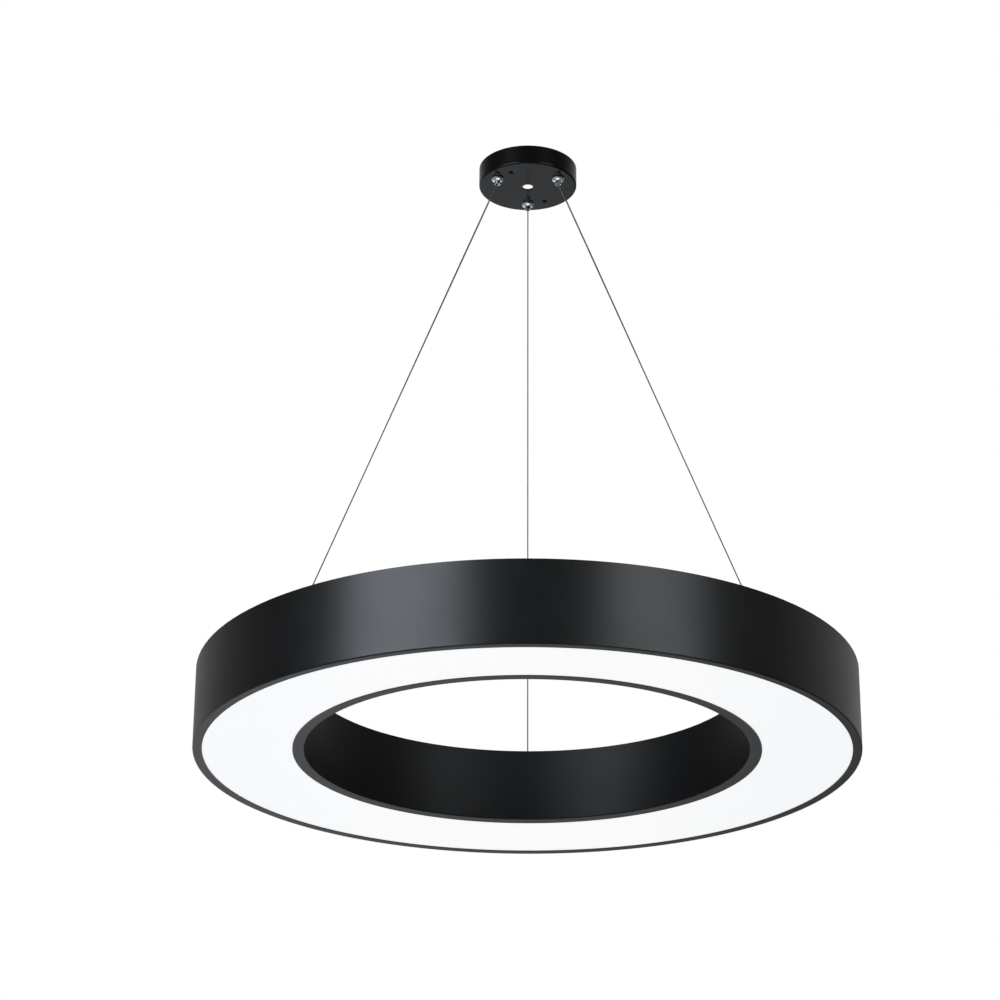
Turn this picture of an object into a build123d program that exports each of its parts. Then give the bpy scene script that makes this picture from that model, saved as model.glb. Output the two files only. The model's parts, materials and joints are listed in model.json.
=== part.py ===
"""LED ring pendant: a flat-lit ring that hangs from a small ceiling canopy on three thin steel cables.

Millimetres, +Z up. The origin is on the ceiling, at the centre of the canopy, and everything hangs below it.
"""
from build123d import *
from math import atan2, cos, radians, sin, tan
import os

os.makedirs("parts", exist_ok=True)

# ---- ring: overall sizes ----
ring_radius = 300.0
ring_hole_radius = 200.0
ring_height = 74.5
underside_rise = 5.5  # the inner bottom edge sits this much above the outer one
ring_drop = 607.2  # ceiling to the lowest edge
band_sheet = 0.8
outer_lip = 8.5
inner_lip = 11.0
bend_inside_radius = 0.4

# ---- ring: light and top ----
diffuser_thickness = 2.0
diffuser_side_gap = 0.5
retainer_wire = 2.0
retainer_arc = 350.0
plate_thickness = 1.2
plate_recess = 2.0
plate_side_gap = 0.2
mixing_height = 40.0  # lowest edge to the underside of the tray
tray_thickness = 1.5
tray_inner_gap = 16.0  # from the ring's inner wall
tray_outer_gap = 14.0  # from the ring's outer wall
light_offset = 1.0  # the boards' middle from the middle of the ring's width
board_count = 6
board_width = 52.0
board_thickness = 1.6
board_gap_angle = 2.1
led_row_spacing = 30.0
leds_per_row = 10
led_length = 5.0
led_width = 3.0
led_thickness = 0.8

# ---- ring: fasteners and fittings ----
bracket_count = 6
bracket_sheet = 1.5
bracket_width = 16.0
bracket_height = 12.0
bracket_reach = 12.0
standoff_count = 6
standoff_radius = 3.5
screw_radius = 2.0
screw_head_radius = 3.5
screw_head_height = 2.4
screw_length = 8.0
recess_width = 0.3  # of a cross recess, as a share of its screw head's radius
recess_reach = 1.1
recess_depth = 0.5
anchor_inset = 12.0  # from the middle of the ring's width
anchor_flange_radius = 6.5
anchor_height = 6.0
anchor_shank_radius = 4.0
anchor_shank_length = 9.5
anchor_bore = 1.2
ferrule_radius = 2.5
ferrule_length = 6.0
grommet_angle = 105.0
grommet_neck_radius = 5.0
grommet_flange_radius = 7.5
grommet_flange = 1.5
cord_hole_radius = 3.5

# ---- ring: driver and its terminals ----
driver_angle = 150.0
driver_length = 128.0
driver_width = 38.0
driver_height = 22.0
driver_wall = 1.5
driver_board_lift = 3.0
driver_tab = 9.0
ring_terminal_angle = 111.0
ring_terminal_offset = 8.0  # outward from the middle of the ring's width
terminal_poles = 3
pole_pitch = 6.0
terminal_depth = 12.0
terminal_height = 10.0
wire_hole_level = 4.0
lead_radius = 1.6
lead_bend = 6.0
lead_level = 7.0  # above the tray, clear of the screw heads
lead_inset = 16.0  # inside the circle of standoffs

# ---- canopy ----
canopy_radius = 47.6
canopy_height = 19.3
canopy_sheet = 1.0
canopy_edge_radius = 1.5
cord_entry_radius = 5.1
bar_angle = 60.0
bar_length = 84.0
bar_width = 18.0
bar_thickness = 2.0
bar_centre_hole_radius = 7.0
ceiling_hole_circle = 24.0
ceiling_hole_radius = 2.6
canopy_screw_circle = 33.0
canopy_screw_radius = 1.5
canopy_screw_head_radius = 2.4
canopy_screw_head_height = 0.9
earth_screw_place = 15.0
canopy_terminal_place = 14.5

# ---- cable grippers ----
gripper_circle = 34.0
gripper_flange_radius = 6.0
gripper_flange_rim = 1.0
gripper_head_height = 3.2
gripper_nose_radius = 3.8
gripper_brow_radius = 5.4
gripper_brow_height = 2.3
gripper_shank_radius = 5.0
gripper_top = 12.0  # above the canopy's underside
gripper_cap = 2.0
gripper_step = 1.0
gripper_cavity_radius = 3.6
gripper_bore_top = 1.0
nozzle_radius = 2.75
nozzle_tip = 6.6  # below the canopy's underside
nozzle_collar_radius = 3.4
nozzle_collar_top = 2.6
nozzle_cage_radius = 2.4
nozzle_cage_top = 5.2
nozzle_bore = 0.9
flare_angle = 46.0
ball_radius = 0.75
ball_circle = 1.4
ball_height = 4.0
ball_count = 3
spring_radius = 3.0
spring_wire_radius = 0.25
spring_turns = 6
nut_thickness = 3.0
gripper_nut_flats = 14.0
anchor_nut_flats = 13.0

# ---- cables ----
cable_radius = 0.6
cable_kink = 1.2  # how far inside a flared mouth the cable turns upright
cable_stop_radius = 1.6
cable_stop_length = 3.4

# ---- clearances ----
slide_gap = 0.05
seat_gap = 0.05
stop_gap = 0.02
hole_gap = 0.1
thread_gap = 0.02

# ---- levels and angles worked out from the sizes ----
bottom = -ring_drop
ring_top = bottom + ring_height
slope = underside_rise / (ring_radius - ring_hole_radius)
bend_outside_radius = band_sheet + bend_inside_radius
middle_circle = (ring_radius + ring_hole_radius) / 2
plate_top = ring_top - plate_recess
plate_bottom = plate_top - plate_thickness
tray_bottom = bottom + mixing_height
tray_top = tray_bottom + tray_thickness
tray_inner_radius = ring_hole_radius + tray_inner_gap
tray_outer_radius = ring_radius - tray_outer_gap
light_circle = middle_circle + light_offset
anchor_circle = middle_circle - anchor_inset
lead_lane = middle_circle - lead_inset
canopy_bottom = -canopy_height
nozzle_mouth = canopy_bottom - nozzle_tip
cable_start = nozzle_mouth + cable_kink
anchor_mouth = plate_top + anchor_height
cable_finish = anchor_mouth - cable_kink
bracket_angles = [360 / bracket_count * i for i in range(bracket_count)]
standoff_angles = [360 / standoff_count * i for i in range(standoff_count)]
outer_screw_circle = ring_radius - band_sheet - bracket_reach / 2 - bracket_sheet / 2
inner_screw_circle = ring_hole_radius + band_sheet + bracket_reach / 2 + bracket_sheet / 2
suspension = {"back": 90.0, "front_left": 210.0, "front_right": 330.0}
up = Vector(0, 0, 1)


def polar(radius, angle, z=0.0):
    """Point at a radius and an angle about the Z axis."""
    return Vector(radius * cos(radians(angle)), radius * sin(radians(angle)), z)


def lip_level(radius):
    """Height of the ring's slanted underside at a radius."""
    return bottom + (ring_radius - radius) * slope


def upright_plane(angle=0.0, at=Vector(0, 0, 0)):
    """Plane that stands on end: local x points outward at an angle, local y points up."""
    out = polar(1, angle)
    return Plane(origin=at, x_dir=out, z_dir=out.cross(up))


def level_plane(angle, at):
    """Level plane with local x along the tangent at an angle, and local y toward the ring's axis."""
    return Plane(origin=at, x_dir=polar(1, angle + 90), z_dir=up)


def outline(points):
    """Filled sketch face from a closed run of points."""
    with BuildLine() as run:
        Polyline(*points, close=True)
    make_face(run.edges())


def turned(points, at=Vector(0, 0, 0), arc=360.0, mode=Mode.ADD):
    """Turn an outline of (radius, height) points about the upright axis through a point."""
    with BuildSketch(upright_plane(at=at)) as profile:
        outline(points)
    revolve(profile.sketch, axis=Axis(at, up), revolution_arc=arc, mode=mode)


def drilled(radius, low, high, places, mode=Mode.SUBTRACT):
    """Upright round holes between two levels, or round bars with Mode.ADD."""
    with BuildSketch(Plane.XY.offset(low)) as profile:
        with Locations(*[(place.X, place.Y) for place in places]):
            Circle(radius)
    extrude(profile.sketch, amount=high - low, mode=mode)


def annulus(inner, outer, low, high):
    """Flat ring between two radii and two levels."""
    with BuildSketch(Plane.XY.offset(low)) as profile:
        Circle(outer)
        Circle(inner, mode=Mode.SUBTRACT)
    extrude(profile.sketch, amount=high - low)


def hex_nut(flats, hole_radius, low, thickness, place):
    """Hexagon nut at a place, with its hole."""
    with BuildSketch(Plane.XY.offset(low)) as profile:
        with Locations((place.X, place.Y)):
            RegularPolygon(flats / 2, 6, major_radius=False)
            Circle(hole_radius, mode=Mode.SUBTRACT)
    extrude(profile.sketch, amount=thickness)


def pan_screw(place, seat, length, radius, head_radius, head_height, sign=1):
    """Screw with a domed head on its seat; sign 1 has the head on top, and -1 underneath."""
    dome = [
        (0, 0),
        (head_radius, 0),
        (head_radius, sign * head_height * 0.45),
        (head_radius * 0.62, sign * head_height),
        (0, sign * head_height),
    ]
    turned(dome, at=Vector(place.X, place.Y, seat))
    ends = sorted((seat, seat - sign * length))
    drilled(radius, ends[0], ends[1], [place], mode=Mode.ADD)
    with BuildSketch(Plane.XY.offset(seat + sign * head_height)) as recess:
        with Locations((place.X, place.Y)):
            Rectangle(recess_width * head_radius, recess_reach * head_radius)
            Rectangle(recess_reach * head_radius, recess_width * head_radius)
    extrude(recess.sketch, amount=-sign * recess_depth * head_height, mode=Mode.SUBTRACT)


def save(piece, name):
    """Label a finished piece and write its STEP file."""
    piece.part.label = name
    export_step(piece.part, f"parts/{name}.step")


# ================ ring: sheet-metal housing ================
outer_edge = ring_radius - outer_lip
with BuildPart() as outer_band:
    with BuildSketch(upright_plane()):
        wall_inside = ring_radius - band_sheet
        outline([
            (ring_radius, lip_level(ring_radius)),
            (ring_radius, ring_top),
            (wall_inside, ring_top),
            (wall_inside, lip_level(wall_inside) + band_sheet),
            (outer_edge, lip_level(outer_edge) + band_sheet),
            (outer_edge, lip_level(outer_edge)),
        ])
        fillet(vertices().sort_by(Axis.Y)[:1], bend_outside_radius)
        fold = (wall_inside, lip_level(wall_inside) + band_sheet)
        fillet(vertices().sort_by_distance(fold)[:1], bend_inside_radius)
    revolve(axis=Axis.Z)
save(outer_band, "outer_band")

inner_edge = ring_hole_radius + inner_lip
with BuildPart() as inner_band:
    with BuildSketch(upright_plane()):
        wall_outside = ring_hole_radius + band_sheet
        outline([
            (ring_hole_radius, lip_level(ring_hole_radius)),
            (inner_edge, lip_level(inner_edge)),
            (inner_edge, lip_level(inner_edge) + band_sheet),
            (wall_outside, lip_level(wall_outside) + band_sheet),
            (wall_outside, ring_top),
            (ring_hole_radius, ring_top),
        ])
        fillet(vertices().sort_by(Axis.X)[:2].sort_by(Axis.Y)[:1], bend_outside_radius)
        fold = (wall_outside, lip_level(wall_outside) + band_sheet)
        fillet(vertices().sort_by_distance(fold)[:1], bend_inside_radius)
    revolve(axis=Axis.Z)
save(inner_band, "inner_band")

plate_screw_places = [polar(outer_screw_circle, a) for a in bracket_angles]
plate_screw_places += [polar(inner_screw_circle, a) for a in bracket_angles]
standoff_places = [polar(middle_circle, a) for a in standoff_angles]
anchor_places = {name: polar(anchor_circle, angle) for name, angle in suspension.items()}
grommet_place = polar(middle_circle, grommet_angle)
with BuildPart() as top_plate:
    annulus(
        ring_hole_radius + band_sheet + plate_side_gap,
        ring_radius - band_sheet - plate_side_gap,
        plate_bottom,
        plate_top,
    )
    drilled(screw_radius + hole_gap, plate_bottom, plate_top, plate_screw_places + standoff_places)
    drilled(anchor_shank_radius + hole_gap, plate_bottom, plate_top, anchor_places.values())
    drilled(grommet_neck_radius, plate_bottom, plate_top, [grommet_place])
save(top_plate, "top_plate")


def band_brackets(wall_radius, direction):
    """Angle brackets inside a band; direction 1 reaches outward from the wall, and -1 inward."""
    bow = wall_radius - (wall_radius**2 - (bracket_width / 2) ** 2) ** 0.5
    back = wall_radius + direction * seat_gap
    if direction < 0:
        back = wall_radius - bow - seat_gap
    web = back + direction * bracket_sheet
    tip = back + direction * bracket_reach
    for angle in bracket_angles:
        with BuildSketch(upright_plane(angle)) as profile:
            outline([
                (back, plate_bottom),
                (tip, plate_bottom),
                (tip, plate_bottom - bracket_sheet),
                (web, plate_bottom - bracket_sheet),
                (web, plate_bottom - bracket_height),
                (back, plate_bottom - bracket_height),
            ])
        extrude(profile.sketch, amount=bracket_width / 2, both=True)


with BuildPart() as outer_brackets:
    band_brackets(ring_radius - band_sheet, -1)
    drilled(
        screw_radius + thread_gap,
        plate_bottom - bracket_sheet,
        plate_bottom,
        [polar(outer_screw_circle, a) for a in bracket_angles],
    )
save(outer_brackets, "outer_brackets")

with BuildPart() as inner_brackets:
    band_brackets(ring_hole_radius + band_sheet, 1)
    drilled(
        screw_radius + thread_gap,
        plate_bottom - bracket_sheet,
        plate_bottom,
        [polar(inner_screw_circle, a) for a in bracket_angles],
    )
save(inner_brackets, "inner_brackets")

with BuildPart() as plate_screws:
    for place in plate_screw_places:
        pan_screw(place, plate_top, screw_length, screw_radius, screw_head_radius, screw_head_height)
save(plate_screws, "plate_screws")

# ================ ring: diffuser ================
diffuser_seat = band_sheet + seat_gap
diffuser_outer = ring_radius - band_sheet - diffuser_side_gap
diffuser_inner = ring_hole_radius + band_sheet + diffuser_side_gap
with BuildPart() as diffuser:
    turned([
        (diffuser_inner, lip_level(diffuser_inner) + diffuser_seat),
        (diffuser_outer, lip_level(diffuser_outer) + diffuser_seat),
        (diffuser_outer, lip_level(diffuser_outer) + diffuser_seat + diffuser_thickness),
        (diffuser_inner, lip_level(diffuser_inner) + diffuser_seat + diffuser_thickness),
    ])
save(diffuser, "diffuser")


def retainer_ring(radius):
    """Open hoop of round spring wire that holds one edge of the diffuser down."""
    level = lip_level(radius) + diffuser_seat + diffuser_thickness + retainer_wire / 2 + 2 * seat_gap
    with BuildSketch(upright_plane(at=Vector(0, 0, level))) as profile:
        with Locations((radius, 0)):
            Circle(retainer_wire / 2)
    revolve(profile.sketch, axis=Axis.Z, revolution_arc=retainer_arc)


with BuildPart() as outer_retainer:
    retainer_ring(ring_radius - band_sheet - retainer_wire / 2 - seat_gap)
save(outer_retainer, "outer_retainer")

with BuildPart() as inner_retainer:
    retainer_ring(ring_hole_radius + band_sheet + retainer_wire / 2 + seat_gap)
save(inner_retainer, "inner_retainer")

# ================ ring: light source ================
driver_base = level_plane(driver_angle, polar(light_circle, driver_angle, tray_top))
driver_end = driver_length / 2
output_place = driver_base.from_local_coords(Vector(driver_end + driver_tab + lead_bend, 0, 0))
with BuildPart() as led_tray:
    annulus(tray_inner_radius, tray_outer_radius, tray_bottom, tray_top)
    drilled(screw_radius + hole_gap, tray_bottom, tray_top, standoff_places)
    drilled(lead_radius + 2 * hole_gap, tray_bottom, tray_top, [output_place])
save(led_tray, "led_tray")

with BuildPart() as tray_standoffs:
    for place in standoff_places:
        with BuildSketch(Plane.XY.offset(tray_top)):
            with Locations((place.X, place.Y)):
                RegularPolygon(standoff_radius, 6)
                Circle(screw_radius + thread_gap, mode=Mode.SUBTRACT)
        extrude(amount=plate_bottom - tray_top)
save(tray_standoffs, "tray_standoffs")

with BuildPart() as standoff_screws:
    for place in standoff_places:
        pan_screw(place, plate_top, screw_length, screw_radius, screw_head_radius, screw_head_height)
        pan_screw(place, tray_bottom, screw_length, screw_radius, screw_head_radius, screw_head_height, -1)
save(standoff_screws, "standoff_screws")

board_arc = 360 / board_count - board_gap_angle
led_face = tray_bottom - board_thickness
board_inner_radius = light_circle - board_width / 2
board_outer_radius = light_circle + board_width / 2
for number in range(board_count):
    middle = 360 / board_count * (number + 0.5)
    with BuildPart() as led_board:
        with BuildSketch(upright_plane(middle - board_arc / 2)):
            outline([
                (board_inner_radius, led_face),
                (board_outer_radius, led_face),
                (board_outer_radius, tray_bottom),
                (board_inner_radius, tray_bottom),
            ])
        revolve(axis=Axis.Z, revolution_arc=board_arc)
    save(led_board, f"led_board_{number + 1}")

with BuildPart() as led_chips:
    for number in range(board_count):
        for step in range(leds_per_row):
            angle = 360 / board_count * number + 360 / board_count * (step + 0.5) / leds_per_row
            for side in (-1, 1):
                row = light_circle + side * led_row_spacing / 2
                with BuildSketch(level_plane(angle, polar(row, angle, led_face - led_thickness))):
                    Rectangle(led_length, led_width)
                extrude(amount=led_thickness)
save(led_chips, "led_chips")

# ================ ring: driver, terminals and leads ================
cover_depth = driver_height - driver_wall
with BuildPart() as driver_case:
    with BuildSketch(driver_base):
        Rectangle(driver_length + 2 * driver_tab, driver_width)
        with Locations((driver_length / 2 + driver_tab / 2, 0), (-driver_length / 2 - driver_tab / 2, 0)):
            Circle(screw_radius + hole_gap, mode=Mode.SUBTRACT)
    extrude(amount=driver_wall)
save(driver_case, "driver_case")

with BuildPart() as driver_cover:
    with BuildSketch(driver_base.offset(driver_wall)):
        Rectangle(driver_length, driver_width)
    extrude(amount=cover_depth)
    fillet(edges().group_by(Axis.Z)[-1], 2 * driver_wall / 3)
    with BuildSketch(driver_base.offset(driver_wall)):
        Rectangle(driver_length - 2 * driver_wall, driver_width - 2 * driver_wall)
    extrude(amount=cover_depth - driver_wall, mode=Mode.SUBTRACT)
    with BuildSketch(driver_base.offset(driver_wall)):
        with Locations((driver_length / 2, 0), (-driver_length / 2, 0)):
            Rectangle(2 * driver_wall + hole_gap, 2 * lead_radius + 2 * hole_gap)
    extrude(amount=lead_level + lead_radius + hole_gap - driver_wall, mode=Mode.SUBTRACT)
save(driver_cover, "driver_cover")

with BuildPart() as driver_board:
    with BuildSketch(driver_base.offset(driver_wall + driver_board_lift)):
        Rectangle(driver_length - 16, driver_width - 3 * driver_wall)
    extrude(amount=board_thickness)
    with BuildSketch(driver_base.offset(driver_wall)):
        with GridLocations(driver_length - 26, driver_width - 12, 2, 2):
            Circle(2)
    extrude(amount=driver_board_lift)
    with BuildSketch(driver_base.offset(driver_wall + driver_board_lift + board_thickness)):
        Rectangle(22, 18)
        with Locations((32, 0)):
            Circle(7)
        with Locations((-30, 0)):
            Rectangle(16, 22)
    extrude(amount=11)
save(driver_board, "driver_board")

tab_offset = polar(1, driver_angle + 90) * (driver_length / 2 + driver_tab / 2)
driver_middle = polar(light_circle, driver_angle)
with BuildPart() as driver_screws:
    for place in (driver_middle + tab_offset, driver_middle - tab_offset):
        pan_screw(place, tray_top + driver_wall, driver_wall - seat_gap, screw_radius,
                  screw_head_radius, screw_head_height)
save(driver_screws, "driver_screws")


def terminal_block(base, width, sign=1):
    """Row of screw terminals on a base plane: wire holes right through, screw holes from the open side."""
    height = sign * terminal_height
    with BuildSketch(base) as block:
        Rectangle(width, terminal_depth)
    extrude(block.sketch, amount=height)
    across = Plane(origin=base.origin - base.y_dir * terminal_depth / 2, x_dir=base.x_dir, z_dir=base.y_dir)
    with BuildSketch(across) as wire_holes:
        with Locations(*[(x, -sign * wire_hole_level) for x in pole_places()]):
            Circle(lead_radius)
    extrude(wire_holes.sketch, amount=terminal_depth, mode=Mode.SUBTRACT)
    with BuildSketch(base.offset(height)) as screw_holes:
        with Locations(*[(x, 0) for x in pole_places()]):
            Circle(lead_radius)
    extrude(screw_holes.sketch, amount=-height * 0.5, mode=Mode.SUBTRACT)


def pole_places():
    """Positions of the poles along a terminal block."""
    return [pole_pitch * (i - (terminal_poles - 1) / 2) for i in range(terminal_poles)]


def terminal_clamps(base, sign=1):
    """Slotted grub screws in the screw holes of a terminal block."""
    height = sign * terminal_height
    with BuildSketch(base.offset(height * 0.95)) as shanks:
        with Locations(*[(x, 0) for x in pole_places()]):
            Circle(lead_radius - seat_gap)
    extrude(shanks.sketch, amount=-height * 0.35)
    with BuildSketch(base.offset(height * 0.95)) as slots:
        with Locations(*[(x, 0) for x in pole_places()]):
            Rectangle(3 * lead_radius, lead_radius / 3)
    extrude(slots.sketch, amount=-height * 0.08, mode=Mode.SUBTRACT)


terminal_width = terminal_poles * pole_pitch
ring_terminal_place = polar(middle_circle + ring_terminal_offset, ring_terminal_angle, tray_top)
ring_terminal_base = level_plane(ring_terminal_angle, ring_terminal_place)
with BuildPart() as ring_terminal:
    terminal_block(ring_terminal_base, terminal_width)
save(ring_terminal, "ring_terminal")

with BuildPart() as ring_terminal_clamps:
    terminal_clamps(ring_terminal_base)
save(ring_terminal_clamps, "ring_terminal_clamps")

with BuildPart() as driver_input_lead:
    start = ring_terminal_base.from_local_coords(Vector(0, terminal_depth / 2 + seat_gap, wire_hole_level))
    finish = driver_base.from_local_coords(Vector(driver_wall - driver_end, 0, lead_level))
    with BuildLine() as route:
        FilletPolyline(
            start,
            polar(lead_lane, ring_terminal_angle, start.Z),
            polar(lead_lane, (ring_terminal_angle + driver_angle) / 2, finish.Z),
            driver_base.from_local_coords(Vector(-driver_end - driver_tab - lead_bend, 0, lead_level)),
            finish,
            radius=lead_bend,
        )
    with BuildSketch(Plane(origin=start, z_dir=route.wire() % 0)):
        Circle(lead_radius)
    sweep()
save(driver_input_lead, "driver_input_lead")

with BuildPart() as driver_output_lead:
    start = driver_base.from_local_coords(Vector(driver_end - driver_wall, 0, lead_level))
    turn = output_place + Vector(0, 0, lead_level)
    with BuildLine() as route:
        FilletPolyline(
            start,
            turn,
            Vector(turn.X, turn.Y, tray_bottom + seat_gap),
            radius=lead_bend / 2,
        )
    with BuildSketch(Plane(origin=start, z_dir=route.wire() % 0)):
        Circle(lead_radius)
    sweep()
save(driver_output_lead, "driver_output_lead")

with BuildPart() as cord_grommet:
    neck = grommet_neck_radius - seat_gap
    turned(
        [
            (cord_hole_radius, -plate_thickness - grommet_flange),
            (grommet_flange_radius, -plate_thickness - grommet_flange),
            (grommet_flange_radius, -plate_thickness),
            (neck, -plate_thickness),
            (neck, 0),
            (grommet_flange_radius, 0),
            (grommet_flange_radius - grommet_flange / 2, grommet_flange),
            (cord_hole_radius, grommet_flange),
        ],
        at=Vector(grommet_place.X, grommet_place.Y, plate_top),
    )
save(cord_grommet, "cord_grommet")

# ================ ring: cable anchors ================
flare_run = tan(radians(flare_angle))
anchor_flare = 1.8
for name, place in anchor_places.items():
    with BuildPart() as cable_anchor:
        low = -plate_thickness - anchor_shank_length
        turned(
            [
                (anchor_bore, anchor_height - anchor_flare),
                (anchor_bore + anchor_flare * flare_run, anchor_height),
                (anchor_flange_radius - 2.6, anchor_height),
                (anchor_flange_radius, 1.6),
                (anchor_flange_radius, 0),
                (anchor_shank_radius, 0),
                (anchor_shank_radius, low),
                (ferrule_radius + hole_gap, low),
                (ferrule_radius + hole_gap, low + ferrule_length + 1),
                (anchor_bore, low + ferrule_length + 1),
            ],
            at=Vector(place.X, place.Y, plate_top),
        )
    save(cable_anchor, f"cable_anchor_{name}")

with BuildPart() as anchor_nuts:
    for place in anchor_places.values():
        hex_nut(
            anchor_nut_flats,
            anchor_shank_radius + thread_gap,
            plate_bottom - nut_thickness,
            nut_thickness,
            place,
        )
save(anchor_nuts, "anchor_nuts")

ferrule_top = plate_bottom - anchor_shank_length + ferrule_length + 1 - seat_gap
with BuildPart() as cable_ferrules:
    drilled(ferrule_radius, ferrule_top - ferrule_length, ferrule_top, anchor_places.values(), mode=Mode.ADD)
    drilled(cable_radius, ferrule_top, cable_finish - seat_gap, anchor_places.values(), mode=Mode.ADD)
save(cable_ferrules, "cable_ferrules")

# ================ suspension cables ================
run_out = anchor_circle - gripper_circle
run_down = cable_start - cable_finish
cable_tilt = atan2(run_out, run_down)
for name, angle in suspension.items():
    with BuildPart() as cable:
        top_end = polar(gripper_circle, angle, cable_start)
        low_end = polar(anchor_circle, angle, cable_finish)
        with BuildSketch(Plane(origin=top_end, x_dir=polar(1, angle), z_dir=up)):
            Ellipse(cable_radius / cos(cable_tilt), cable_radius)
        extrude(amount=(low_end - top_end).length, dir=low_end - top_end)
    save(cable, f"cable_{name}")

# ================ canopy ================
gripper_places = {name: polar(gripper_circle, angle) for name, angle in suspension.items()}
screw_sides = (bar_angle, bar_angle + 180)
canopy_screw_places = [polar(canopy_screw_circle, a) for a in screw_sides]
with BuildPart() as canopy_cup:
    with BuildSketch(upright_plane()):
        inside = canopy_radius - canopy_sheet
        floor = canopy_bottom + canopy_sheet
        outline([
            (cord_entry_radius, canopy_bottom),
            (canopy_radius, canopy_bottom),
            (canopy_radius, 0),
            (inside, 0),
            (inside, floor),
            (cord_entry_radius, floor),
        ])
        fillet(vertices().sort_by(Axis.Y)[:2].sort_by(Axis.X)[-1:], canopy_edge_radius)
    revolve(axis=Axis.Z)
    drilled(gripper_shank_radius + hole_gap, canopy_bottom, floor, gripper_places.values())
    drilled(canopy_screw_radius + 2 * hole_gap, canopy_bottom, floor, canopy_screw_places)
save(canopy_cup, "canopy_cup")

bar_plane = Plane(origin=(0, 0, -bar_thickness), x_dir=polar(1, bar_angle), z_dir=up)
with BuildPart() as ceiling_bracket:
    with BuildSketch(bar_plane):
        SlotOverall(bar_length, bar_width)
        Circle(bar_centre_hole_radius + 5)
        Circle(bar_centre_hole_radius, mode=Mode.SUBTRACT)
        with Locations((ceiling_hole_circle, 0), (-ceiling_hole_circle, 0)):
            Circle(ceiling_hole_radius, mode=Mode.SUBTRACT)
        with Locations((canopy_screw_circle, 0), (-canopy_screw_circle, 0)):
            Circle(canopy_screw_radius + thread_gap, mode=Mode.SUBTRACT)
        with Locations((earth_screw_place, 0)):
            Circle(screw_radius + thread_gap, mode=Mode.SUBTRACT)
    extrude(amount=bar_thickness)
save(ceiling_bracket, "ceiling_bracket")

with BuildPart() as canopy_screws:
    for place in canopy_screw_places:
        pan_screw(
            place,
            canopy_bottom,
            canopy_height - seat_gap,
            canopy_screw_radius,
            canopy_screw_head_radius,
            canopy_screw_head_height,
            -1,
        )
save(canopy_screws, "canopy_screws")

with BuildPart() as earth_screw:
    place = polar(earth_screw_place, bar_angle)
    pan_screw(place, -bar_thickness, bar_thickness, screw_radius, screw_head_radius, screw_head_height, -1)
save(earth_screw, "earth_screw")

canopy_terminal_at = polar(canopy_terminal_place, bar_angle + 180, -bar_thickness)
canopy_terminal_base = level_plane(bar_angle, canopy_terminal_at)
with BuildPart() as canopy_terminal:
    terminal_block(canopy_terminal_base, terminal_width, -1)
save(canopy_terminal, "canopy_terminal")

with BuildPart() as canopy_terminal_clamps:
    terminal_clamps(canopy_terminal_base, -1)
save(canopy_terminal_clamps, "canopy_terminal_clamps")

# ================ cable grippers ================
ball_angles = [360 / ball_count * i for i in range(ball_count)]
cavity_top = gripper_top - gripper_cap
collar_seat = gripper_step + stop_gap
flare_depth = (nozzle_radius - 0.4 - nozzle_bore) / flare_run
for name, place in gripper_places.items():
    at = Vector(place.X, place.Y, canopy_bottom)
    with BuildPart() as gripper_body:
        turned(
            [
                (nozzle_radius + slide_gap, -gripper_head_height),
                (gripper_nose_radius, -gripper_head_height),
                (gripper_brow_radius, -gripper_brow_height),
                (gripper_flange_radius, -gripper_flange_rim),
                (gripper_flange_radius, 0),
                (gripper_shank_radius, 0),
                (gripper_shank_radius, gripper_top),
                (gripper_bore_top, gripper_top),
                (gripper_bore_top, cavity_top),
                (gripper_cavity_radius, cavity_top),
                (gripper_cavity_radius, gripper_step),
                (nozzle_radius + slide_gap, gripper_step),
            ],
            at=at,
        )
    save(gripper_body, f"gripper_body_{name}")

    with BuildPart() as gripper_nozzle:
        turned(
            [
                (nozzle_radius - 0.4, -nozzle_tip),
                (nozzle_radius, -nozzle_tip),
                (nozzle_radius, collar_seat),
                (nozzle_collar_radius, collar_seat),
                (nozzle_collar_radius, nozzle_collar_top),
                (nozzle_cage_radius, nozzle_collar_top),
                (nozzle_cage_radius, nozzle_cage_top),
                (nozzle_bore, nozzle_cage_top),
                (nozzle_bore, flare_depth - nozzle_tip),
            ],
            at=at,
        )
        for side in ball_angles:
            with BuildSketch(Plane(origin=at + Vector(0, 0, ball_height), z_dir=polar(1, side))):
                Circle(ball_radius + slide_gap)
            extrude(amount=nozzle_collar_radius, mode=Mode.SUBTRACT)
    save(gripper_nozzle, f"gripper_nozzle_{name}")

    with BuildPart() as gripper_balls:
        with Locations(*[at + polar(ball_circle, side, ball_height) for side in ball_angles]):
            Sphere(ball_radius)
    save(gripper_balls, f"gripper_balls_{name}")

    with BuildPart() as gripper_spring:
        low = nozzle_collar_top + spring_wire_radius + stop_gap
        coil_height = cavity_top - spring_wire_radius - stop_gap - low
        with BuildLine():
            Helix(coil_height / spring_turns, coil_height, spring_radius, center=at + Vector(0, 0, low))
        with BuildSketch(Plane(origin=at + Vector(spring_radius, 0, low), z_dir=(0, 1, 0))):
            Circle(spring_wire_radius)
        sweep(is_frenet=True)
    save(gripper_spring, f"gripper_spring_{name}")

with BuildPart() as gripper_nuts:
    for place in gripper_places.values():
        hex_nut(
            gripper_nut_flats,
            gripper_shank_radius + thread_gap,
            canopy_bottom + canopy_sheet,
            nut_thickness,
            place,
        )
save(gripper_nuts, "gripper_nuts")

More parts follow.
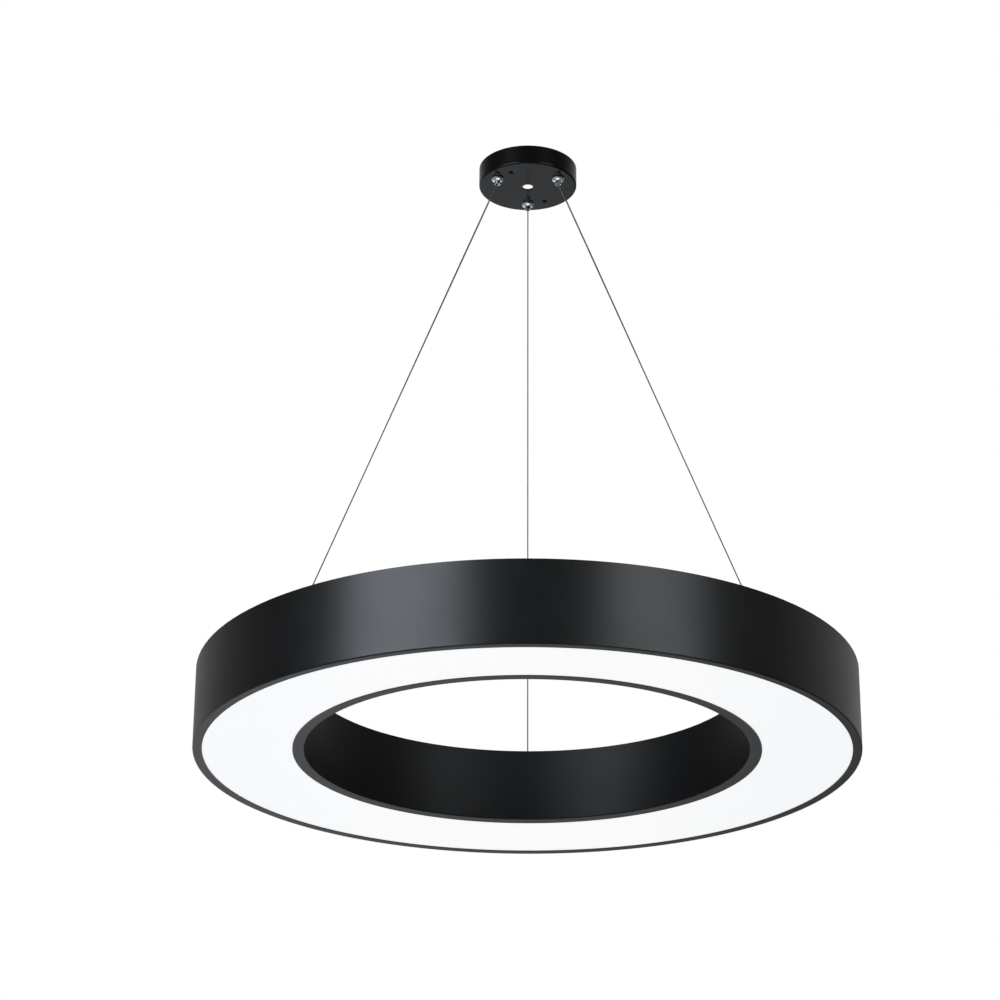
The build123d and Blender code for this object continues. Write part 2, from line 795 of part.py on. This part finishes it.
tail_top = canopy_bottom + gripper_top
with BuildPart() as cable_tails:
    drilled(cable_radius, cable_start + seat_gap, tail_top, gripper_places.values(), mode=Mode.ADD)
    drilled(
        cable_stop_radius,
        tail_top + seat_gap,
        tail_top + cable_stop_length,
        gripper_places.values(),
        mode=Mode.ADD,
    )
    drilled(cable_radius, tail_top, tail_top + seat_gap, gripper_places.values(), mode=Mode.ADD)
save(cable_tails, "cable_tails")
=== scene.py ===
"""LED ring pendant: finishes, wire ropes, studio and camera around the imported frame.

Metres and degrees, in the row frame: +Z up, the origin on the ceiling at the canopy's centre.
"""

import json
from math import cos, pi, radians, sin

import bpy
import numpy as np
from mathutils import Matrix, Vector


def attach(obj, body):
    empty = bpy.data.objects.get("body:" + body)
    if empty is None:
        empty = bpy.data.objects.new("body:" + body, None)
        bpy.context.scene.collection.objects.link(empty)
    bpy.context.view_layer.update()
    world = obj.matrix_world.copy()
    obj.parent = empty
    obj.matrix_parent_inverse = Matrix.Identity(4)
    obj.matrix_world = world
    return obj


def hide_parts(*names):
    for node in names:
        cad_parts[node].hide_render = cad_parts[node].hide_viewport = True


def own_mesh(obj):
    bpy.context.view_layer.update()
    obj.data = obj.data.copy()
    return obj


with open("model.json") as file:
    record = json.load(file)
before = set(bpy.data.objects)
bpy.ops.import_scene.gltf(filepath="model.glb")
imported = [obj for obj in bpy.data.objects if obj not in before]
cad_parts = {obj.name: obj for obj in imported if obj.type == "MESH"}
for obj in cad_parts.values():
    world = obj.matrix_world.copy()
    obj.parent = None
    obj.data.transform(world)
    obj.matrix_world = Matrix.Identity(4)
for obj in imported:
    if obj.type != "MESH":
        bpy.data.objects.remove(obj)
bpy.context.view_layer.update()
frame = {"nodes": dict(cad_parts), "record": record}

# ---- sizes repeated from the part's source ----
cable_directions = {"back": 90.0, "front_left": 210.0, "front_right": 330.0}
gripper_circle = 0.034
anchor_circle = 0.238
cable_start = -0.0247
cable_finish = -0.5299
cable_diameter = 0.0012

# ---- wire rope ----
rope_inside_gripper = 0.0026  # so that no gap opens as the lamp swings
bend_share = 0.01  # of the free length, within which the rope turns to its slope
route_steps = 24
strand_count = 6
strand_radius = cable_diameter / 6
strand_circle = cable_diameter / 3
lay_length = 8 * cable_diameter
steps_per_lay = 12
strand_sides = 6


# ================ node trees ================
class Value:
    """A socket in a node tree; arithmetic on it adds Math nodes."""

    def __init__(self, nodes, socket):
        self.nodes = nodes
        self.socket = socket

    def math(self, operation, *others):
        return self.nodes.math(operation, self, *others)

    def __add__(self, other):
        return self.math("ADD", other)

    def __sub__(self, other):
        return self.math("SUBTRACT", other)

    def __rsub__(self, other):
        return self.nodes.math("SUBTRACT", other, self)

    def __mul__(self, other):
        return self.math("MULTIPLY", other)

    __radd__ = __add__
    __rmul__ = __mul__


class Nodes:
    """A node tree under construction."""

    def __init__(self, tree):
        self.tree = tree
        self.tree.nodes.clear()

    def add(self, kind, settings=None, sockets=None, output=0):
        """Add a node by its type; sockets take numbers, colours or other nodes' values."""
        node = self.tree.nodes.new("ShaderNode" + kind)
        for name, value in (settings or {}).items():
            setattr(node, name, value)
        for name, value in (sockets or {}).items():
            if isinstance(value, Value):
                self.tree.links.new(value.socket, node.inputs[name])
            else:
                node.inputs[name].default_value = value
        return Value(self, node.outputs[output]) if len(node.outputs) else None

    def math(self, operation, *terms):
        return self.add("Math", {"operation": operation}, dict(enumerate(terms)))

    def place(self, axis=None):
        """Position on the object, or one coordinate of it."""
        position = self.add("TexCoord", output="Object")
        if axis is None:
            return position
        return self.add("SeparateXYZ", sockets={0: position}, output=axis)

    def from_axis(self):
        """Distance from the object's upright axis."""
        x, y = self.place("X"), self.place("Y")
        return (x * x + y * y).math("SQRT")

    def noise(self, scale, detail=2.0, stretch=(1, 1, 1)):
        """Noise from 0 to 1; scale is in features per metre, and stretch multiplies it per axis."""
        where = self.add("VectorMath", {"operation": "MULTIPLY"}, {0: self.place(), 1: stretch})
        return self.add("TexNoise", sockets={"Vector": where, "Scale": scale, "Detail": detail})

    def fade(self, value, low, high, at_low=0.0, at_high=1.0):
        """Value eased from one range into another."""
        ends = {"From Min": low, "From Max": high, "To Min": at_low, "To Max": at_high}
        return self.add("MapRange", {"interpolation_type": "SMOOTHSTEP"}, {"Value": value, **ends})

    def mix(self, share, first, second):
        """Colour between two colours; 0, 6, 7 and output 2 are the node's sockets for colours."""
        return self.add("Mix", {"data_type": "RGBA"}, {0: share, 6: first, 7: second}, output=2)

    def tones(self, share, colour, darkest, lightest):
        """Colour between a darker and a lighter tone of it, each given as a factor."""
        return self.mix(share, shade(colour, darkest), shade(colour, lightest))

    def bump(self, height, depth, strength):
        """Normal from a height; depth is what a height of 1 stands for, in metres."""
        return self.add("Bump", sockets={"Height": height, "Distance": depth, "Strength": strength})

    def glow(self, colour):
        """Surface that gives off light of its own colour."""
        return self.add("Emission", sockets={"Color": colour, "Strength": 1.0})

    def mix_shaders(self, share, first, second):
        return self.add("MixShader", sockets={0: share, 1: first, 2: second})


def rgb(red, green=None, blue=None):
    """Opaque colour; one number makes a grey."""
    if green is None:
        return (red, red, red, 1.0)
    return (red, green, blue, 1.0)


def shade(colour, factor):
    """Opaque colour, darker or lighter by a factor and never above 1."""
    return rgb(*[min(1, channel * factor) for channel in colour])


def finish(name, build):
    """Material whose surface sockets come from a function of its node tree."""
    material = bpy.data.materials.new(name)
    material.use_nodes = True
    nodes = Nodes(material.node_tree)
    surface = nodes.add("BsdfPrincipled", sockets=build(nodes))
    nodes.add("OutputMaterial", sockets={"Surface": surface})
    return material


# ================ finishes ================
# scales are in features per metre, depths in metres
usual_noise = (0.3, 0.7)  # range that holds most of a noise
cloud_range = (0.25, 0.75)

# ---- powder coat ----
cloud_scale = 18
peel_scale = 620
speck_scale = 2600
peel_share = 0.8
speck_share = 0.2
cloud_smoother = 0.015
cloud_rougher = 0.02
speck_rougher = 0.01
seam_bottom = 0.0003  # half widths of the groove of a band's welded seam
seam_edge = 0.0011
seam_depth = 2.5  # times the depth of the orange peel
seam_fade = 0.01  # only the back half of a band has a seam
lip_coat = 0.5
lip_coat_roughness = 0.33
lip_fade = 0.001


def powder_coat(colour, gloss, peel_depth, level=0.5, welded=False, glossy_from=0.0):
    """Powder-coated steel with orange peel and cloudy gloss.

    A rolled band has a welded seam at its back, and its lip can be glossier, from a radius outward.
    """

    def build(nodes):
        clouds = nodes.noise(cloud_scale, detail=3)
        specks = nodes.noise(speck_scale, detail=1)
        height = nodes.noise(peel_scale) * peel_share + specks * speck_share
        cloudy = nodes.fade(clouds, *cloud_range, gloss - cloud_smoother, gloss + cloud_rougher)
        if welded:
            beside = nodes.place("X").math("ABSOLUTE")
            behind = nodes.fade(nodes.place("Y"), 0.0, seam_fade)
            groove = nodes.fade(beside, seam_bottom, seam_edge, 1, 0) * behind
            height = height - groove * seam_depth
        coat = 0.0
        if glossy_from:
            coat = nodes.fade(nodes.from_axis(), glossy_from, glossy_from + lip_fade) * lip_coat
        return {
            "Base Color": nodes.tones(clouds, colour, darkest=0.88, lightest=1.12),
            "Roughness": cloudy + specks * speck_rougher,
            "Specular IOR Level": level,
            "Coat Weight": coat,
            "Coat Roughness": lip_coat_roughness,
            "Normal": nodes.bump(height, peel_depth, strength=0.5),
        }

    return build


def bare_metal(colour, gloss, grain=(1, 1, 1), grain_scale=900, grain_depth=0.00002):
    """Bare or plated metal with its drawn, turned or rolled grain."""

    def build(nodes):
        lines = nodes.noise(grain_scale, detail=3, stretch=grain)
        clouds = nodes.noise(60)
        return {
            "Base Color": nodes.tones(clouds, colour, darkest=0.9, lightest=1.06),
            "Metallic": 1.0,
            "Roughness": nodes.fade(lines, *usual_noise, gloss * 0.8, gloss * 1.2),
            "Normal": nodes.bump(lines, grain_depth, strength=0.4),
        }

    return build


def moulded(colour, gloss, texture_scale=1500):
    """Moulded plastic or rubber with a fine spark-eroded texture."""

    def build(nodes):
        texture = nodes.noise(texture_scale)
        clouds = nodes.noise(40)
        return {
            "Base Color": nodes.tones(clouds, colour, darkest=0.94, lightest=1),
            "Roughness": nodes.fade(texture, *usual_noise, gloss - 0.05, gloss + 0.05),
            "Normal": nodes.bump(texture, depth=0.00003, strength=0.6),
        }

    return build


# ---- opal sheet ----
opal_glow = 0.768
# painted shade: the opal sheet's sides, left and right along X, get a darker and cooler white than
# its middle
opal_middle = rgb(0.955, 0.952, 0.952)
opal_painted_side_shade = rgb(0.905, 0.915, 0.925)
painted_shade_from = 0.10  # distances to the side of the middle
painted_shade_to = 0.27
painted_shade_share = 0.8


def opal_acrylic(nodes):
    """Lit opal sheet: even white light over a soft cast surface, with painted shade that makes it a
    touch darker and cooler at the sides, left and right along X.
    """
    # painted shade: the emission turns darker and cooler toward the sides along X
    sideways = nodes.place("X").math("ABSOLUTE")
    painted_side_shade = nodes.fade(sideways, painted_shade_from, painted_shade_to) * painted_shade_share
    waves = nodes.noise(30)
    return {
        "Base Color": nodes.mix(waves, rgb(0.80), rgb(0.84)),
        "Roughness": nodes.fade(waves, *usual_noise, 0.42, 0.5),
        "Emission Color": nodes.mix(painted_side_shade, opal_middle, opal_painted_side_shade),
        "Emission Strength": opal_glow,
        "Normal": nodes.bump(nodes.noise(700, detail=1), depth=0.00001, strength=0.3),
    }


# ---- electronics ----
track_count = 90  # in a full turn of the ring
track_edge = 0.2
driver_track_scale = 260
driver_track_stretch = (1, 1, 0.2)
track_relief = 0.00003


def board_mask(nodes):
    """White solder mask with the faint relief of the copper tracks under it."""
    turn = nodes.place("Y").math("ARCTAN2", nodes.place("X"))
    relief = nodes.fade((turn * track_count).math("SINE"), -track_edge, track_edge)
    return {
        "Base Color": nodes.mix(relief, rgb(0.86, 0.86, 0.84), rgb(0.92, 0.92, 0.90)),
        "Roughness": nodes.fade(nodes.noise(900), *usual_noise, 0.3, 0.4),
        "Normal": nodes.bump(relief, track_relief, strength=0.6),
    }


def phosphor(nodes):
    """Yellow phosphor in its white package."""
    grains = nodes.noise(4000)
    return {
        "Base Color": nodes.mix(grains, rgb(0.90, 0.72, 0.22), rgb(0.96, 0.86, 0.48)),
        "Roughness": nodes.fade(grains, *usual_noise, 0.35, 0.55),
        "Emission Color": rgb(1.0, 0.93, 0.75),
        "Emission Strength": 0.5,
    }


def green_board(nodes):
    """Green circuit board with lighter tracks."""
    blotches = nodes.noise(driver_track_scale, detail=0, stretch=driver_track_stretch)
    tracks = nodes.fade(blotches, 0.48, 0.52)
    return {
        "Base Color": nodes.mix(tracks, rgb(0.03, 0.17, 0.07), rgb(0.07, 0.28, 0.13)),
        "Roughness": nodes.fade(nodes.noise(900), *usual_noise, 0.28, 0.42),
        "Normal": nodes.bump(tracks, track_relief, strength=0.6),
    }


band_black = (0.0040, 0.0042, 0.0045)
inner_lip_from = 0.2003  # radius outside the inner wall
finishes = {
    "band_paint": powder_coat(band_black, gloss=0.33, peel_depth=0.000010, level=0.41, welded=True),
    "inner_band_paint": powder_coat(
        band_black,
        gloss=0.48,
        peel_depth=0.000010,
        level=0.23,
        welded=True,
        glossy_from=inner_lip_from,
    ),
    "plate_paint": powder_coat((0.014, 0.0145, 0.015), gloss=0.55, peel_depth=0.000020),
    "canopy_paint": powder_coat(
        (0.0030, 0.0031, 0.0032), gloss=0.19, peel_depth=0.000004, level=0.24
    ),
    "black_screw": bare_metal((0.012, 0.012, 0.012), gloss=0.45),
    "opal_diffuser": opal_acrylic,
    "chrome": bare_metal(
        (0.95, 0.95, 0.96), gloss=0.20, grain=(1, 1, 6), grain_scale=700, grain_depth=0.000003
    ),
    "ball_steel": bare_metal((0.80, 0.80, 0.82), gloss=0.12),
    "zinc_steel": bare_metal((0.62, 0.63, 0.64), gloss=0.34, grain=(1, 1, 0.3)),
    "spring_steel": bare_metal((0.52, 0.52, 0.54), gloss=0.26),
    "wire_rope": bare_metal((0.20, 0.205, 0.21), gloss=0.50, grain=(1, 1, 0.25), grain_scale=5000),
    "tray_aluminium": bare_metal((0.78, 0.79, 0.80), gloss=0.36, grain=(0.04, 1, 1)),
    "brass_clamp": bare_metal((0.72, 0.52, 0.24), gloss=0.3),
    "board_mask": board_mask,
    "led_package": phosphor,
    "board_green": green_board,
    "driver_plastic": moulded((0.86, 0.86, 0.84), gloss=0.5),
    "terminal_plastic": moulded((0.86, 0.86, 0.82), gloss=0.45),
    "lead_sheath": moulded((0.88, 0.88, 0.88), gloss=0.48, texture_scale=800),
    "grommet_rubber": moulded((0.022, 0.022, 0.022), gloss=0.62, texture_scale=2200),
}
own_finish = {"inner_band": "inner_band_paint"}  # pieces that differ from the rest of their slot
materials = {name: finish(name, build) for name, build in finishes.items()}
for part in frame["record"]["subparts"]:
    for place in frame["nodes"][part["node"]].material_slots:
        place.material = materials[own_finish.get(part["node"], part["material_slot"])]


# ================ wire ropes ================
def smooth_line(points):
    """Points read along the smooth curve that a cable's route gives."""
    curve = bpy.data.curves.new("cable_route", "CURVE")
    curve.dimensions = "3D"
    curve.resolution_u = route_steps
    spline = curve.splines.new("NURBS")
    spline.points.add(len(points) - 1)
    for target, point in zip(spline.points, points):
        target.co = (*point, 1)
    spline.order_u = 3
    spline.use_endpoint_u = True
    holder = bpy.data.objects.new("cable_route", curve)
    line = bpy.data.meshes.new_from_object(holder)
    found = np.array([vertex.co for vertex in line.vertices])
    bpy.data.objects.remove(holder)
    bpy.data.curves.remove(curve)
    bpy.data.meshes.remove(line)
    return found


def tube(centres, radius, across, upward):
    """Vertices and faces of a closed tube that follows its centres."""
    turns = 2 * pi * np.arange(strand_sides) / strand_sides
    ring = radius * (np.cos(turns)[:, None] * across + np.sin(turns)[:, None] * upward)
    vertices = (centres[:, None, :] + ring[None, :, :]).reshape(-1, 3)
    faces = []
    for row in range(len(centres) - 1):
        for side in range(strand_sides):
            beside = (side + 1) % strand_sides
            low, high = row * strand_sides, (row + 1) * strand_sides
            faces.append((low + side, low + beside, high + beside, high + side))
    last = (len(centres) - 1) * strand_sides
    faces.append(tuple(reversed(range(strand_sides))))
    faces.append(tuple(range(last, last + strand_sides)))
    return vertices, faces


def wire_rope(name, points):
    """Rope of six strands laid round a core along a route."""
    line = smooth_line(points)
    along = np.concatenate([[0], np.cumsum(np.linalg.norm(np.diff(line, axis=0), axis=1))])
    steps = int(round(along[-1] / lay_length * steps_per_lay))
    stations = np.linspace(0, along[-1], steps + 1)
    centres = np.stack([np.interp(stations, along, line[:, axis]) for axis in range(3)], axis=1)
    heading = Vector(line[-1] - line[0]).normalized()
    across = heading.cross(Vector((0, 0, 1))).normalized()
    upward = heading.cross(across)
    across, upward = np.array(across), np.array(upward)
    core, faces = tube(centres[[0, -1]], strand_radius, across, upward)
    vertices = [core]
    count = len(core)
    for strand in range(strand_count):
        turn = 2 * pi * (stations / lay_length + strand / strand_count)
        offset = np.cos(turn)[:, None] * across + np.sin(turn)[:, None] * upward
        middle = centres + strand_circle * offset
        strand_vertices, strand_faces = tube(middle, strand_radius, across, upward)
        faces += [tuple(corner + count for corner in face) for face in strand_faces]
        vertices.append(strand_vertices)
        count += len(strand_vertices)
    mesh = bpy.data.meshes.new(name)
    mesh.from_pydata(np.concatenate(vertices).tolist(), [], faces)
    mesh.polygons.foreach_set("use_smooth", [True] * len(mesh.polygons))
    mesh.materials.append(materials["wire_rope"])
    rope = bpy.data.objects.new(name, mesh)
    bpy.context.scene.collection.objects.link(rope)
    return rope, [Vector(point) for point in line]


for side, direction in cable_directions.items():
    out = Vector((cos(radians(direction)), sin(radians(direction)), 0))
    top = out * gripper_circle + Vector((0, 0, cable_start))
    foot = out * anchor_circle + Vector((0, 0, cable_finish))
    end = top + Vector((0, 0, rope_inside_gripper))
    route = [end, top, top + (foot - top) * bend_share, (top + foot) / 2, foot]
    rope, line = wire_rope("rope_" + side, route)
    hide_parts("cable_" + side)
    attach(rope, "cables")
    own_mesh(rope)

# ================ release springs ================
for side in cable_directions:
    coil = frame["nodes"]["gripper_spring_" + side]
    spring = bpy.data.objects.new("spring_" + side, coil.data.copy())
    spring.matrix_world = coil.matrix_world
    bpy.context.scene.collection.objects.link(spring)
    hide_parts("gripper_spring_" + side)
    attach(spring, "canopy")
    coil_low = min((coil.matrix_world @ vertex.co).z for vertex in coil.data.vertices)
    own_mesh(spring)

# ================ studio ================
floor_level = -3.4
floor_radius = 40.0
floor_corners = 64
floor_colour = 0.80

# ---- what paint and chrome mirror in the floor; 1 is white ----
glow_colour = (0.96, 1.0, 1.04)
patch_radii = (1.4, 2.8)  # right under the lamp, for the chrome
patch_glow = 1.2
strip_front = (4.4, 5.6)  # across the room behind the lamp, for the undersides
strip_back = (6.2, 7.2)
strip_before = 0.4
strip_glow = 2.6
strip_after = 0.385
strip_reach = 2.2  # to each side, over which the glow falls from its left to its right share
strip_left = 0.56
strip_right = 0.12

# ---- light of the room; 1 is white ----
room_edge = -0.1  # cosine of the angle from the brightest direction at which the room is darkest
room_dark = 0.10
room_bright = 0.42
room_turn = 9.0  # from straight behind toward the right

# ---- lamps and camera ----
lamp_level = 0.40
lamp_distance = 3.2
lamp_target = Vector((0, 0, -0.45))
camera_place = Vector((0.0071, -2.5, -1.4232))
camera_pitch = 23.182
camera_yaw = -0.749
camera_roll = 0.311
camera_sensor = 36  # millimetres, as is the lens
camera_lens = 104.8


def lay_floor():
    """Wide pale floor: plain white to the camera, with its own light only in what mirrors it."""
    mesh = bpy.data.meshes.new("floor")
    turns = [2 * pi * i / floor_corners for i in range(floor_corners)]
    rim = [(floor_radius * cos(turn), floor_radius * sin(turn), floor_level) for turn in turns]
    mesh.from_pydata(rim, [], [tuple(range(floor_corners))])
    floor = bpy.data.objects.new("floor", mesh)
    bpy.context.scene.collection.objects.link(floor)
    material = bpy.data.materials.new("pale_floor")
    material.use_nodes = True
    nodes = Nodes(material.node_tree)
    patch = nodes.fade(nodes.from_axis(), *patch_radii, patch_glow, 0.0)
    x, y = nodes.place("X"), nodes.place("Y")
    front = nodes.fade(y, *strip_front, strip_before, strip_glow)
    back = nodes.fade(y, *strip_back, 1.0, strip_after)
    sides = nodes.fade(x, -strip_reach, strip_reach, strip_left, strip_right)
    strength = (front * back * sides).math("MAXIMUM", patch)
    tint = nodes.add("VectorMath", {"operation": "SCALE"}, {0: glow_colour, "Scale": strength})
    seen = nodes.add("LightPath", output="Is Camera Ray")
    mirrored = nodes.add("LightPath", output="Is Glossy Ray")
    shaded = nodes.add("BsdfDiffuse", sockets={"Color": rgb(floor_colour)})
    unseen = nodes.mix_shaders(mirrored, shaded, nodes.glow(tint))
    surface = nodes.mix_shaders(seen, unseen, nodes.glow(rgb(1.0)))
    nodes.add("OutputMaterial", sockets={"Surface": surface})
    mesh.materials.append(material)


def light_room():
    """Room that is brighter behind the lamp; seen directly or through glass, it is plain white."""
    world = bpy.data.worlds.new("studio_room")
    world.use_nodes = True
    bpy.context.scene.world = world
    nodes = Nodes(world.node_tree)
    direction = nodes.add("TexCoord", output="Generated")
    brightest = (sin(radians(room_turn)), cos(radians(room_turn)), 0)
    toward = {0: direction, 1: brightest}
    behind = nodes.add("VectorMath", {"operation": "DOT_PRODUCT"}, toward, output="Value")
    room = nodes.fade(behind, room_edge, 1.0, room_dark, room_bright)
    seen = nodes.add("LightPath", output="Is Camera Ray")
    through = nodes.add("LightPath", output="Is Transmission Ray")
    shown = seen.math("MAXIMUM", through)
    strength = room * (1 - shown) + shown
    background = nodes.add("Background", sockets={"Color": rgb(1.0), "Strength": strength})
    nodes.add("OutputWorld", sockets={"Surface": background})


def softbox(name, turn, width, height, radiance, colour):
    """Rectangular lamp aimed at the ring; turn is degrees to the right of the camera's side."""
    lamp = bpy.data.lights.new(name, "AREA")
    lamp.shape = "RECTANGLE"
    lamp.size = width
    lamp.size_y = height
    lamp.energy = radiance * pi * width * height
    lamp.color = colour
    holder = bpy.data.objects.new(name, lamp)
    bpy.context.scene.collection.objects.link(holder)
    across, toward = lamp_distance * sin(radians(turn)), -lamp_distance * cos(radians(turn))
    holder.location = Vector((across, toward, lamp_level))
    heading = lamp_target - holder.location
    holder.rotation_euler = heading.to_track_quat("-Z", "Y").to_euler()
    holder.visible_camera = False


def aim_camera():
    """Camera where the photograph was taken from: below the lamp, looking up."""
    pitch, yaw, roll = radians(camera_pitch), radians(camera_yaw), radians(camera_roll)
    ahead = Vector((sin(yaw) * cos(pitch), cos(yaw) * cos(pitch), sin(pitch)))
    right = Vector((cos(yaw), -sin(yaw), 0))
    upward = right.cross(ahead)
    tilted_right = right * cos(roll) + upward * sin(roll)
    tilted_up = upward * cos(roll) - right * sin(roll)
    lens = bpy.data.cameras.new("camera")
    lens.sensor_width = camera_sensor
    lens.lens = camera_lens
    camera = bpy.data.objects.new("camera", lens)
    bpy.context.scene.collection.objects.link(camera)
    camera.matrix_world = Matrix((tilted_right, tilted_up, -ahead)).transposed().to_4x4()
    camera.location = camera_place
    bpy.context.scene.camera = camera


lay_floor()
light_room()
softbox("key_left", turn=-40, width=2.1, height=1.6, radiance=6.1, colour=(0.91, 0.98, 1.08))
softbox("fill_right", turn=41, width=1.7, height=1.6, radiance=3.4, colour=(0.95, 1.0, 1.04))
aim_camera()
bpy.context.scene.view_settings.view_transform = "Standard"
